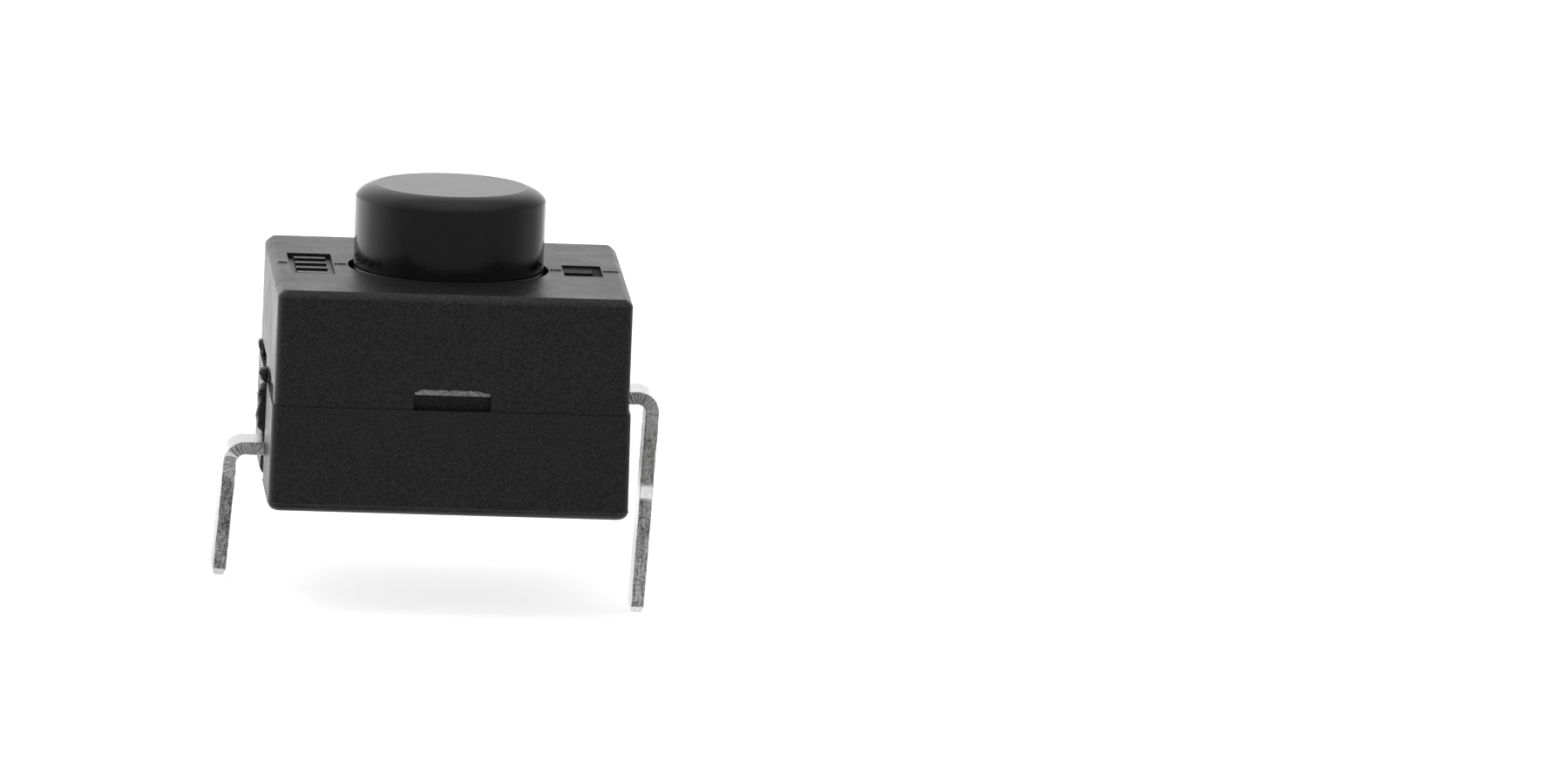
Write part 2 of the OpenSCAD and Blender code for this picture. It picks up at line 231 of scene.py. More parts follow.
def sector(radii, a0, a1, z0, z1, steps=10):
    """A piece of a tube between two angles in degrees."""
    turns = [math.radians(a0 + (a1 - a0) * i / steps) for i in range(steps + 1)]
    inner, outer = radii
    outline = [(outer * math.cos(a), outer * math.sin(a)) for a in turns]
    outline += [(inner * math.cos(a), inner * math.sin(a)) for a in reversed(turns)]
    return prism(outline, z0, z1)


def apply_modifiers(obj):
    bpy.context.view_layer.update()
    done = obj.evaluated_get(bpy.context.evaluated_depsgraph_get())
    mesh = bpy.data.meshes.new_from_object(done)
    obj.modifiers.clear()
    obj.data = mesh


def combine(obj, others, how):
    """Adds or cuts away other solids, which are used up."""
    for other in others:
        modifier = obj.modifiers.new("combine", "BOOLEAN")
        modifier.operation = how
        modifier.solver = "EXACT"
        modifier.object = other
    apply_modifiers(obj)
    for other in others:
        bpy.data.objects.remove(other)


def add(obj, *others):
    combine(obj, others, "UNION")


def cut(obj, *others):
    combine(obj, others, "DIFFERENCE")


def join(parts):
    """Puts separate solids into one object."""
    verts, faces = [], []
    for part in parts:
        start = len(verts)
        verts += [tuple(v.co) for v in part.data.vertices]
        faces += [tuple(start + i for i in f.vertices) for f in part.data.polygons]
        bpy.data.objects.remove(part)
    return new_object("joined", verts, faces)


def shade(obj, crease=40):
    """Smooth shading across edges blunter than the crease in degrees.

    Big faces outweigh small ones and so stay flat.
    """
    mesh = obj.data
    touching = [[] for _ in mesh.vertices]
    for polygon in mesh.polygons:
        polygon.use_smooth = True
        for v in polygon.vertices:
            touching[v].append(polygon)
    limit = math.cos(math.radians(crease))
    normals = []
    for polygon in mesh.polygons:
        for v in polygon.vertices:
            near = [other for other in touching[v] if other.normal.dot(polygon.normal) > limit]
            total = sum((other.normal * other.area ** 2 for other in near), polygon.normal * 1e-9)
            normals.append(total.normalized())
    mesh.normals_split_custom_set(normals)


def soften(obj, width, sharp=32, crease=14):
    """Rounds the edges sharper than an angle in degrees and shades the rest."""
    bevel = obj.modifiers.new("bevel", "BEVEL")
    bevel.width = width
    bevel.segments = 2
    bevel.limit_method = "ANGLE"
    bevel.angle_limit = math.radians(sharp)
    bevel.miter_outer = "MITER_ARC"
    bevel.use_clamp_overlap = True
    apply_modifiers(obj)
    shade(obj, crease)


def finish_piece(obj, name, body, material, replaced=None):
    """Scales a piece to metres, names it, gives it its body and material, and hides the CAD part it
    replaces.
    """
    obj.data.transform(Matrix.Scale(MM, 4))
    obj.name = obj.data.name = name
    obj.data.materials.clear()
    obj.data.materials.append(material)
    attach(obj, body)
    if replaced:
        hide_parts(replaced)


# ---------- materials ----------

class Wires:
    """Makes and links the nodes of one node tree."""

    def __init__(self, tree):
        self.nodes = tree.nodes
        self.links = tree.links

    def put(self, socket, value):
        """Links an input to another node's output, or sets it to a constant."""
        if isinstance(value, bpy.types.NodeSocket):
            self.links.new(value, socket)
        else:
            socket.default_value = value

    def node(self, kind, *inputs, **settings):
        """A new node; the inputs given are its first ones, in order."""
        node = self.nodes.new("ShaderNode" + kind)
        for name, value in settings.items():
            setattr(node, name, value)
        for socket, value in zip(node.inputs, inputs):
            self.put(socket, value)
        return node

    def math(self, how, *inputs):
        return self.node("Math", *inputs, operation=how).outputs[0]

    def vector(self, how, *inputs):
        node = self.node("VectorMath", *inputs, operation=how)
        return node.outputs["Value" if how in ("LENGTH", "DOT_PRODUCT") else "Vector"]

    def split(self, vector):
        return self.node("SeparateXYZ", vector).outputs

    def remap(self, value, low, high, to_low=0.0, to_high=1.0):
        return self.node("MapRange", value, low, high, to_low, to_high).outputs[0]

    def ramp(self, value, stops):
        """Maps a value through (place, level) stops."""
        node = self.node("ValToRGB", value)
        elements = node.color_ramp.elements
        while len(elements) < len(stops):
            elements.new(0.5)
        for element, (place, level) in zip(elements, stops):
            element.position = place
            element.color = (level, level, level, 1)
        return node.outputs["Color"]

    def mix(self, factor, a, b):
        """A blend of two colours."""
        node = self.node("Mix", factor, data_type="RGBA")
        self.put(node.inputs[6], a)
        self.put(node.inputs[7], b)
        return node.outputs[2]

    def mix_levels(self, factor, a, b):
        """A blend of two numbers."""
        node = self.node("Mix", factor, data_type="FLOAT")
        self.put(node.inputs["A"], a)
        self.put(node.inputs["B"], b)
        return node.outputs["Result"]


class Shader(Wires):
    """The nodes of a surface's material, on object coordinates."""

    def __init__(self, name):
        self.material = bpy.data.materials.new(name)
        self.material.use_nodes = True
        super().__init__(self.material.node_tree)
        self.bsdf = self.nodes["Principled BSDF"]
        coords = self.node("TexCoord").outputs
        self.place = coords["Object"]
        self.normal = coords["Normal"]

    def noise(self, size, detail=2.0, rough=0.5, stretch=(1, 1, 1)):
        """Noise whose blotches are about that many millimetres across."""
        mapping = self.node("Mapping", self.place)
        mapping.inputs["Scale"].default_value = [1 / s for s in stretch]
        node = self.node("TexNoise", mapping.outputs["Vector"])
        node.inputs["Scale"].default_value = 1 / (size * MM)
        node.inputs["Detail"].default_value = detail
        node.inputs["Roughness"].default_value = rough
        return node.outputs["Fac"]

    def specks(self, spacing, size):
        """A mask of small round specks, about that far apart in millimetres."""
        node = self.node("TexVoronoi", self.place)
        node.inputs["Scale"].default_value = 1 / (spacing * MM)
        return self.ramp(node.outputs["Distance"], [(0, 1), (size, 0)])

    def bump(self, height, depth, below=None):
        """Relief that many millimetres deep; several are chained with below."""
        node = self.node("Bump")
        node.inputs["Strength"].default_value = 1
        node.inputs["Distance"].default_value = depth * MM
        self.put(node.inputs["Height"], height)
        if below is not None:
            self.put(node.inputs["Normal"], below)
        return node.outputs["Normal"]

    def surface(self, colour, roughness, relief, metallic=0.0):
        """The finished material."""
        self.put(self.bsdf.inputs["Base Color"], colour)
        self.put(self.bsdf.inputs["Roughness"], roughness)
        self.put(self.bsdf.inputs["Normal"], relief)
        self.put(self.bsdf.inputs["Metallic"], metallic)
        return self.material


def toned(colour, factor=1.0):
    """A colour made lighter or darker, with its alpha."""
    return tuple(c * factor for c in colour) + (1,)


def black_plastic(name, colour, gloss, grain, speckle, ior):
    """Black moulded plastic with fine grain, cloudy gloss and a little pale dust."""
    s = Shader(name)
    clouds = s.noise(1.4, 4, 0.6)
    fine = s.noise(0.08, 3, 0.7)
    cloudy = s.mix(s.ramp(clouds, [(0.35, 0.0), (0.7, 1.0)]), toned(colour), toned(colour, 1.5))
    grainy = s.mix(s.ramp(fine, [(0.40, 0.0), (0.60, 1.0)]), toned(colour, 1 - speckle),
                   toned(colour, 1 + 3.5 * speckle))
    specks = s.specks(0.55, 0.045)
    patches = s.ramp(s.noise(1.1, 1), [(0.6, 0.0), (0.66, 1.0)])
    dusty = s.mix(s.math("MULTIPLY", specks, patches), s.mix(0.5, cloudy, grainy), (0.25, 0.25, 0.25, 1))
    s.bsdf.inputs["IOR"].default_value = ior
    roughness = s.ramp(clouds, [(0.3, gloss - 0.05), (0.7, gloss + 0.07)])
    return s.surface(dusty, roughness, s.bump(fine, grain, s.bump(s.noise(0.05, 2), grain * 0.4)))


def torn(name):
    """Plastic that whitened where it tore, painted paler still as painted highlight for the light its edge
    catches.
    """
    s = Shader(name)
    crumbs = s.noise(0.09, 3, 0.7)
    return s.surface(s.ramp(crumbs, [(0.38, 0.12), (0.58, 0.36)]),
                     s.ramp(crumbs, [(0.3, 0.45), (0.7, 0.7)]), s.bump(crumbs, 0.02))


def bend_centre(reach, z):
    """The middle of a lead's outer bend, x measured outwards; z is the underside of the strip."""
    return reach - BEND_R - STRIP_T, z - BEND_R


def tin_plate(name, bend, tone, painted_patch_level, shine):
    """Tin-plated strip: bright broad faces, and mottled sheared edges.

    The edges are veined all over and carry creases round the bend, where pale streaks on them are painted
    highlight;
    the patch level paints pale, dull patches of painted highlight on the leg's upper part.
    """
    s = Shader(name)
    grey = (0.5, 0.5, 0.5, 1)
    sheared = s.remap(s.math("ABSOLUTE", s.split(s.normal)["Y"]), 0.93, 0.97)
    spots = s.noise(0.10, 4, 0.75)
    streaks = s.noise(0.09, 3, 0.7, stretch=(1, 1, 5))
    drag = s.noise(0.16, 3, 0.6, stretch=(1, 1, 4))
    veins = s.ramp(s.noise(0.22, 3, 0.6), [(0.45, 0.0), (0.5, 0.55), (0.55, 0.0)])

    from_bend = s.vector("SUBTRACT", s.place, (bend[0] * MM, 0, bend[1] * MM))
    near = s.split(from_bend)
    fan = s.node("TexNoise", noise_dimensions="1D")
    s.put(fan.inputs["W"], s.math("ARCTAN2", near["Z"], near["X"]))
    fan.inputs["Scale"].default_value = 7
    fan.inputs["Detail"].default_value = 3
    creases = fan.outputs["Fac"]
    reach = s.vector("LENGTH", s.vector("MULTIPLY", from_bend, (1, 0, 1)))
    ragged = s.math("ADD", reach, s.math("MULTIPLY", spots, 0.3 * MM))
    # painted highlight: near the bend the sheared edges are marked for pale painted streaks, besides the
    # bump of creases
    crease_and_glint_zone = s.math("MULTIPLY", s.remap(ragged, 0.92 * MM, 1.0 * MM, 1, 0), sheared)

    high = s.remap(s.split(s.place)["Z"], 0.8 * MM, 1.1 * MM)
    below_bend = s.remap(near["Z"], -0.55 * MM, -0.45 * MM, 1, 0)
    # painted highlight: pale, dull patches on the sheared edges below the bend, where the metal loses its
    # shine
    patches = s.math("MULTIPLY", high, s.ramp(spots, [(0.43, 0.1), (0.53, painted_patch_level)]))
    veins_and_painted_highlight = s.math("MAXIMUM", s.math("MULTIPLY", patches, below_bend), veins)
    veins_and_painted_highlight = s.math("MULTIPLY", veins_and_painted_highlight, sheared)

    mottled = s.ramp(s.math("MULTIPLY", s.math("ADD", spots, streaks), 0.5),
                     [(0.41, 0.2), (0.48, 0.5), (0.52, 0.62), (0.56, 1.0)])
    # painted highlight: near the bend the edge colour turns to pale streaks
    edge = s.mix(crease_and_glint_zone, s.math("MULTIPLY", mottled, tone), s.ramp(creases, [(0.38, 0.6), (0.48, 1.0)]))
    broad = s.ramp(drag, [(0.3, shine - 0.15), (0.6, shine)])
    colour = s.mix(sheared, broad, s.mix(veins_and_painted_highlight, edge, (0.9, 0.9, 0.88, 1)))
    roughness = s.mix(sheared, s.ramp(drag, [(0.3, 0.08), (0.7, 0.2)]),
                      s.ramp(spots, [(0.3, 0.5), (0.7, 0.3)]))
    relief = s.bump(s.mix(sheared, grey, spots), 0.07)
    relief = s.bump(s.mix(crease_and_glint_zone, grey, creases), 0.12, relief)
    relief = s.bump(s.mix(sheared, (0, 0, 0, 1), veins), 0.03, relief)
    relief = s.bump(drag, 0.006, relief)
    return s.surface(colour, roughness, relief, s.math("SUBTRACT", 1, s.math("MULTIPLY", veins_and_painted_highlight, 0.85)))


def plain_metal(name, colour, gloss):
    s = Shader(name)
    marks = s.noise(0.2, 3)
    return s.surface(s.mix(marks, toned(colour, 0.7), toned(colour)),
                     s.ramp(marks, [(0.3, gloss), (0.7, gloss + 0.15)]), s.bump(marks, 0.004), 1)


def white_plastic(name):
    s = Shader(name)
    clouds = s.noise(1.0, 3)
    return s.surface(s.mix(clouds, (0.74, 0.74, 0.7, 1), (0.84, 0.84, 0.8, 1)),
                     s.ramp(clouds, [(0.3, 0.35), (0.7, 0.5)]), s.bump(s.noise(0.1, 2), 0.003))


left_bend = bend_centre(LEFT_REACH, FLOOR_Z)
housing_black = black_plastic("housing_black", (0.0115, 0.0115, 0.0119), 0.28, 0.018, 0.95, 1.42)
button_black = black_plastic("button_black", (0.0045, 0.0045, 0.0047), 0.1, 0.0025, 0.5, 1.46)
torn_plastic_painted_highlight = torn("torn_plastic_painted_highlight")
# One tin in two copies, differing as painted light: the right lead's is painted lighter and shinier, with
# painted highlight patches
left_tin = tin_plate("left_tin", (-left_bend[0], left_bend[1]), 0.62, 0.0, 0.72)
right_tin = tin_plate("right_tin", bend_centre(RIGHT_REACH, LEAD_EXIT), 0.85, 0.6, 0.88)
spring_steel = plain_metal("spring_steel", (0.6, 0.6, 0.59), 0.25)
brass = plain_metal("brass", (0.8, 0.56, 0.3), 0.2)
silver = plain_metal("silver", (0.85, 0.84, 0.81), 0.2)
rotor_white = white_plastic("rotor_white")


# ---------- housing ----------

def rounded_end(half, z_edge, z_end, arc, steps=6):
    """Rings that round the edge at one end of a block; a short arc leaves crisp lines at both its ends."""
    rings = []
    for inwards, upwards in arc_steps(arc, steps):
        inset = EDGE_R * inwards
        rings.append(square_ring(half - inset, CORNER_R - 0.8 * inset, z_edge + (z_end - z_edge) * upwards))
    return rings


def corners(radius, z0, z1, steps=48):
    """A cylinder at each of the four posts."""
    return [cylinder(radius, z0, z1, (x, y), steps)
            for x in (-STAKE_AT, STAKE_AT) for y in (-STAKE_AT, STAKE_AT)]


def cavity(z0, z1):
    half = BASE_HALF - WALL
    return loft("cavity", [square_ring(half, CAVITY_R, z, 3) for z in (z0, z1)])


def window_cutters():
    low = SPLIT_Z - LAP
    cutters = []
    for side in (-1, 1):
        x0, x1 = sorted((side * (COVER_HALF - WINDOW_DEPTH), side * (COVER_HALF + LAP)))
        for y0, y1 in SIDE_WINDOWS:
            cutters.append(block((x0, y0, low), (x1, y1, SIDE_WINDOW_TOP)))
        top = FRONT_WINDOW_TOP if side < 0 else SIDE_WINDOW_TOP
        cutters.append(block((-FRONT_WINDOW_HALF, x0, low), (FRONT_WINDOW_HALF, x1, top)))
    return cutters


def mark_cutters():
    return [block((x0, -half, TOP_Z - deep), (x1, half, TOP_Z + PAST))
            for (x0, x1), half, deep in [(LEFT_MARK, LEFT_MARK_HALF, LEFT_MARK_D),
                                         (RIGHT_MARK, RIGHT_MARK_HALF, RIGHT_MARK_D)]]


def mark_ribs():
    """Plain ribs on the floor of the left recess in the top, and a sloping step in the right one."""
    half, sunk, root = 0.17, 0.05, 0.04
    x0, x1 = LEFT_MARK[0] + 0.22, LEFT_MARK[1] - 0.19
    ribs = []
    for y in (-1.5, -0.5, 0.5, 1.5):
        ribs.append(block((x0, y - half, TOP_Z - LEFT_MARK_D - root), (x1, y + half, TOP_Z - sunk)))
    steeper_from = 4.88                  # to the right of here the step drops more steeply
    back, foot, crest = RIGHT_MARK_HALF + 0.05, TOP_Z - RIGHT_MARK_D - 0.05, TOP_Z - 0.06
    for x0, x1, front, drop in [(RIGHT_MARK[0] - 0.06, steeper_from + 0.02, 0.6, 0.17),
                                (steeper_from, RIGHT_MARK[1] + 0.04, 0.72, 0.29)]:
        ribs.append(wedge(x0, x1, [(front, foot), (back, foot), (back, crest), (front, TOP_Z - drop)]))
    return ribs


def make_mould_line():
    """The fine raised line on the top where the halves of the cover's mould met."""
    half, tall, root, clear, steps = 0.025, 0.028, 0.02, 0.04, 24
    edge = COVER_HALF + COVER_DRAFT[1] - 0.6 * EDGE_R
    hole = HOLE_R + clear
    lines = []
    for x0, x1 in [(-edge, LEFT_MARK[0] - clear), (LEFT_MARK[1] + clear, -hole),
                   (hole, RIGHT_MARK[0] - clear), (RIGHT_MARK[1] + clear, edge)]:
        rings = []
        for i in range(steps + 1):
            x = x0 + (x1 - x0) * i / steps
            y = 0.02 * wobble(x * 2)
            over = max(0, abs(x) - edge + 0.4 * EDGE_R)
            low = TOP_Z - root - over
            high = low + root + tall * (1 + 0.5 * wobble(x * 6, 5))
            rings.append([(x, y - half, low), (x, y + half, low),
                          (x, y + half * 0.4, high), (x, y - half * 0.4, high)])
        lines.append(loft("line", rings))
    line = join(lines)
    shade(line)
    finish_piece(line, "mould_line", "housing", housing_black)


def make_cover():
    rings = [square_ring(COVER_HALF + COVER_DRAFT[0], CORNER_R, SPLIT_Z)]
    rings += rounded_end(COVER_HALF + COVER_DRAFT[1], TOP_Z - EDGE_R, TOP_Z, TOP_ARC)
    cover = loft("cover", rings)
    cut(cover, cavity(SPLIT_Z - PAST, CEILING_Z))
    add(cover, *corners(BOSS_R, SPLIT_Z, CEILING_Z + LAP))
    add(cover, *[sector(GUIDE_R, middle - GUIDE_HALF, middle + GUIDE_HALF, GUIDE_Z, CEILING_Z + LAP)
                 for middle in (0, 90, 180, 270)])
    hole = cylinder(HOLE_R, CEILING_Z - PAST, TOP_Z + PAST, steps=BUTTON_STEPS)
    cut(cover, hole, *window_cutters())
    cut(cover, *mark_cutters())
    add(cover, *corners(STAKE_R, POCKET_D, SPLIT_Z + LAP, 32), *mark_ribs())
    soften(cover, CRISP)
    finish_piece(cover, "cover_shell", "housing", housing_black, "cover")


def window_blocks():
    """What closes the view into the front window, and into the front one on the left side."""
    inside = BASE_HALF - WALL
    half = FRONT_WINDOW_HALF + 0.01
    behind_front = block((-half, -inside - 0.45, FLOOR_Z), (half, -inside + 0.3, FRONT_WINDOW_TOP - 0.03))
    play, thick = 0.02, 0.3
    y0, y1 = SIDE_WINDOWS[0][0] + play, SIDE_WINDOWS[0][1] - play
    near, far = -COVER_HALF + 0.03, -COVER_HALF + 0.34
    slanted = prism([(near, y1), (far, y0), (far + thick, y0), (far + thick, y1)],
                    SPLIT_Z - 0.2, SIDE_WINDOW_TOP + 0.01)
    return behind_front, slanted


def make_base():
    foot = BASE_HALF + BASE_DRAFT[0]
    rings = rounded_end(foot, EDGE_R, 0, FOOT_ARC)[::-1]
    rings.append(square_ring(foot + FOOT_LINE, CORNER_R, EDGE_R + 0.02))
    rings.append(square_ring(foot, CORNER_R, EDGE_R + 0.05))
    rings.append(square_ring(BASE_HALF + BASE_DRAFT[1], CORNER_R, SPLIT_Z))
    base = loft("base", rings)
    inside = BASE_HALF - WALL
    behind_front, slanted = window_blocks()
    cut(base, cavity(FLOOR_Z, SPLIT_Z + PAST))
    sill = block((inside, RIGHT_ROOT[0], SPLIT_Z - LAP), (BASE_HALF - 0.04, RIGHT_ROOT[1], LEAD_EXIT))
    add(base, *corners(BOSS_R, FLOOR_Z - LAP, SPLIT_Z), cylinder(SEAT_R, FLOOR_Z - LAP, SEAT_TOP),
        behind_front, sill)
    groove = cylinder(GROOVE_R[1], -LAP, GROOVE_D)
    cut(groove, cylinder(GROOVE_R[0], -2 * LAP, 2 * LAP))
    cut(base, *corners(STAKE_R + STAKE_PLAY, -PAST, SPLIT_Z + PAST, 32),
        *corners(POCKET_R, -PAST, POCKET_D, 64), groove)
    notches = []
    for side in (-1, 1):
        deep, face = side * (BASE_HALF - NOTCH_D), side * (BASE_HALF + LAP)
        narrow, wide = NOTCH_HALF
        outline = [(deep, -narrow), (face, -wide), (face, wide), (deep, narrow)]
        notches.append(prism(outline[::side], -PAST, SPLIT_Z + PAST))
    cut(base, *notches)
    cut(base, block((-BASE_HALF - PAST, LEFT_ROOT[0], FLOOR_Z),
                    (-inside + LAP, LEFT_ROOT[1], FLOOR_Z + STRIP_T)))
    add(base, slanted)
    soften(base, CRISP)
    finish_piece(base, "base_shell", "housing", housing_black, "base")


def lump(name, levels, worn, steps=28):
    """A rough closed lump; each level is z, low and high X, low and high Y."""
    rings = []
    for z, x0, x1, y0, y1 in levels:
        ring = []
        for i in range(steps):
            a = 2 * math.pi * i / steps
            u, v = math.cos(a), math.sin(a)
            stretch = 1 / max(abs(u), abs(v)) ** 0.7
            place = Vector(((x0 + x1) / 2 + (x1 - x0) / 2 * u * stretch,
                            (y0 + y1) / 2 + (y1 - y0) / 2 * v * stretch, z))
            place += worn * noise.noise_vector(place * 5) + 0.6 * worn * noise.noise_vector(place * 13)
            ring.append(tuple(place))
        rings.append(ring)
    return loft(name, rings)


def blend_levels(levels, steps=6):
    """More levels between the given ones, on smooth curves."""
    smooth = []
    for low, high in zip(levels, levels[1:]):
        for i in range(steps):
            t = i / steps
            smooth.append(between(low, high, t * t * (3 - 2 * t)))
    smooth.append(levels[-1])
    return smooth


def make_gate():
    """The torn-off moulding gate in the recess over the left lead, with a crumb above it and flash behind.

    Their levels go from the foot up: height, how far out in X, low and high Y.
    """
    stub = [(1.70, -6.08, -0.20, 0.15), (1.90, -6.24, -0.34, 0.30), (2.30, -6.28, -0.38, 0.34),
            (2.62, -6.20, -0.36, 0.30), (2.95, -6.26, -0.40, 0.36), (3.18, -6.20, -0.36, 0.32),
            (3.34, -6.08, -0.24, 0.20)]
    crumb = [(3.42, -6.06, -0.20, 0.16), (3.50, -6.18, -0.30, 0.26), (3.72, -6.24, -0.32, 0.26),
             (3.84, -6.18, -0.22, 0.18), (3.88, -6.04, -0.10, 0.10)]
    flash = [(3.24, -5.93, 4.90, 5.20), (3.50, -5.98, 4.80, 5.30), (3.86, -6.08, 4.75, 5.35),
             (3.96, -6.04, 4.85, 5.25)]
    in_base, in_cover = -BASE_HALF + 0.4, -COVER_HALF + 0.1
    for name, levels, root, worn in [("gate_stub", stub, in_base, 0.045),
                                     ("gate_crumb", crumb, in_cover, 0.035),
                                     ("corner_flash", flash, in_cover, 0.02)]:
        piece = lump(name, blend_levels([(z, out, root, y0, y1) for z, out, y0, y1 in levels]), worn)
        shade(piece)
        finish_piece(piece, name, "housing", housing_black)


def make_window_lip():
    """A thin torn lip of stretched plastic along the top of the front window, pale from whitening and from
    painted highlight.
    """
    half, steps, sunk = FRONT_WINDOW_HALF - 0.03, 120, 0.06
    face = -(COVER_HALF + COVER_DRAFT[0])
    low = FRONT_WINDOW_TOP - 0.03
    rings = []
    for i in range(steps + 1):
        t = i / steps
        x = half * (2 * t - 1)
        fade = min(1, 0.4 + 7 * t, 0.5 + 2.2 * (1 - t))
        tall = (0.17 + 0.03 * wobble(x * 4) + 0.015 * wobble(x * 17, 9)) * fade
        out = 0.04 + 0.02 * wobble(x * 9, 3)
        ragged = 0.012 * wobble(x * 14, 7)
        rings.append([(x, face + sunk, low - 0.02), (x, face - out, low + ragged),
                      (x, face - out * 0.9, low + tall * 0.6), (x, face - out * 0.2, low + tall + ragged),
                      (x, face + sunk, low + tall)])
    lip = loft("window_lip", rings)
    shade(lip)
    finish_piece(lip, "window_lip", "housing", torn_plastic_painted_highlight)


def make_stake_heads():
    """Four posts melted over in their pockets, each a swirled disc with a dimple."""
    profile = [(0.30, 0.28), (0.42, 0.22), (0.50, 0.16), (0.62, 0.14), (0.76, 0.17), (0.84, 0.24),
               (0.87, 0.34), (0.86, 0.49)]
    steps = 72
    heads = []
    for n, (x, y) in enumerate([(-1, -1), (1, -1), (1, 1), (-1, 1)]):
        rings = []
        for radius, z in profile:
            ring = []
            for i in range(steps):
                a = 2 * math.pi * i / steps
                around = Vector((2.2 * math.cos(a + radius), 2.2 * math.sin(a + radius), 3 * n + radius))
                swirl = noise.noise(around)
                r = radius * (1 + 0.07 * swirl)
                ring.append((x * STAKE_AT + r * math.cos(a), y * STAKE_AT + r * math.sin(a),
                             z + 0.035 * swirl))
            rings.append(ring)
        heads.append(loft("head", rings[::-1]))
    joined = join(heads)
    shade(joined)
    finish_piece(joined, "stake_heads", "housing", housing_black)


# ---------- button ----------

def make_button():
    steps = 12
    top_t = 0.8                          # thickness of the button's top
    profile = [(SHAFT_R, SKIRT_Z), (SHAFT_R, TOP_Z - 0.05), (BUTTON_R, TOP_Z)]
    for inwards, upwards in arc_steps(BUTTON_ARC, steps):
        profile.append((BUTTON_R - BUTTON_INSET * inwards, BUTTON_TOP - BUTTON_DROP * (1 - upwards)))
    profile.append((1.0, BUTTON_TOP))
    button = loft("button", [circle(radius, z, steps=BUTTON_STEPS) for radius, z in profile])
    cut(button, cylinder(BORE_R, SKIRT_Z - PAST, BUTTON_TOP - top_t))
    add(button, *[sector(FIN_R, middle - FIN_HALF, middle + FIN_HALF, SKIRT_Z - 0.05, CEILING_Z)
                  for middle in (45, 135, 225, 315)])
    shade(button, 9)
    finish_piece(button, "button_cap", "button", button_black, "button")


# ---------- leads ----------

def bent_path(reach, z, lean, low_z, steps=12, leg_steps=44):
    """The middle line of a strip, x measured outwards: the outer bend and the leaning leg below it."""
    radius = BEND_R + STRIP_T / 2
    cx, cz = bend_centre(reach, z)
    lean = math.radians(lean)
    path = []
    for i in range(steps + 1):
        a = math.pi / 2 - (math.pi / 2 + lean) * i / steps
        path.append((cx + radius * math.cos(a), cz + radius * math.sin(a)))
    foot = Vector(path[-1])
    down = Vector((-math.sin(lean), -math.cos(lean)))
    length = (cz - low_z) / math.cos(lean)
    for i in range(1, leg_steps + 1):
        path.append(tuple(foot + down * (length - TIP) * i / leg_steps))
    path.append(tuple(foot + down * length))
    return path


def turn_path(corner, start, end, radius, steps=6):
    """An arc of the middle line round a point, between two directions in degrees."""
    turns = [math.radians(start + (end - start) * i / steps) for i in range(steps + 1)]
    return [(corner[0] + radius * math.cos(a), corner[1] + radius * math.sin(a)) for a in turns]


def run(x0, x1, z, steps):
    """A level piece of the middle line."""
    return [(x0 + (x1 - x0) * i / steps, z) for i in range(steps + 1)]


def strip_ring(point, ahead, y0, y1, half, side, worn):
    """Points round a strip's cross-section, with rounded and slightly uneven edges."""
    r = STRIP_EDGE_R
    across = Vector((-ahead.y, ahead.x))
    twist = -LEG_TWIST * min(1, max(0, 1 - point[1])) * min(1, abs(ahead.y))
    ring = []
    for quarter, (sy, sv) in enumerate([(1, 1), (-1, 1), (-1, -1), (1, -1)]):
        for i in range(4):
            a = math.radians(90 * quarter + 30 * i)
            y = (y0 + y1) / 2 + sy * ((y1 - y0) / 2 - r) + r * math.cos(a)
            v = sv * (half - r) + r * math.sin(a)
            turned = twist * (y - (y0 + y1) / 2)
            place = Vector((side * (point[0] + across.x * v) + turned, y, point[1] + across.y * v))
            place += worn * noise.noise_vector(place * 4) + 0.5 * worn * noise.noise_vector(place * 11)
            ring.append(tuple(place))
    return ring if side > 0 else ring[::-1]


def strip(name, path, span, side, worn=0.012):
    """A flat strip along a middle line; span(point) gives its low and high Y there."""
    rings = []
    last = len(path) - 1
    for i, point in enumerate(path):
        ahead = (Vector(path[min(i + 1, last)]) - Vector(path[max(i - 1, 0)])).normalized()
        y0, y1 = span(point)
        shrink = TIP if i == last else 0
        thin = TIP_EDGE if i == last else 0
        rings.append(strip_ring(point, ahead, y0 + shrink, y1 - shrink, STRIP_T / 2 - thin, side, worn))
    return loft(name, rings)


def finish_lead(lead, name, side, material, replaced):
    """Cuts the rivet's hole and finishes the piece."""
    cut(lead, cylinder(RIVET_HOLE_R, 0, 3, (side * CONTACT_X, 0), 32))
    shade(lead)
    finish_piece(lead, name, "housing", material, replaced)


def make_left_lead():
    low = box_mm("left_lead")[0]
    shoulder_h = 0.35                    # the root narrows to the leg over this height
    bend = bent_path(LEFT_REACH, FLOOR_Z, LEFT_LEAN, low.z)
    path = run(CONTACT_X - PAD_HALF, bend[0][0] - 0.02, FLOOR_Z + STRIP_T / 2, 30) + bend

    def span(point):
        return between(LEFT_ROOT, LEFT_LEG, (FLOOR_Z - point[1]) / shoulder_h)

    lead = strip("left_lead", path, span, -1)
    finish_lead(lead, "left_lead_strip", -1, left_tin, "left_lead")


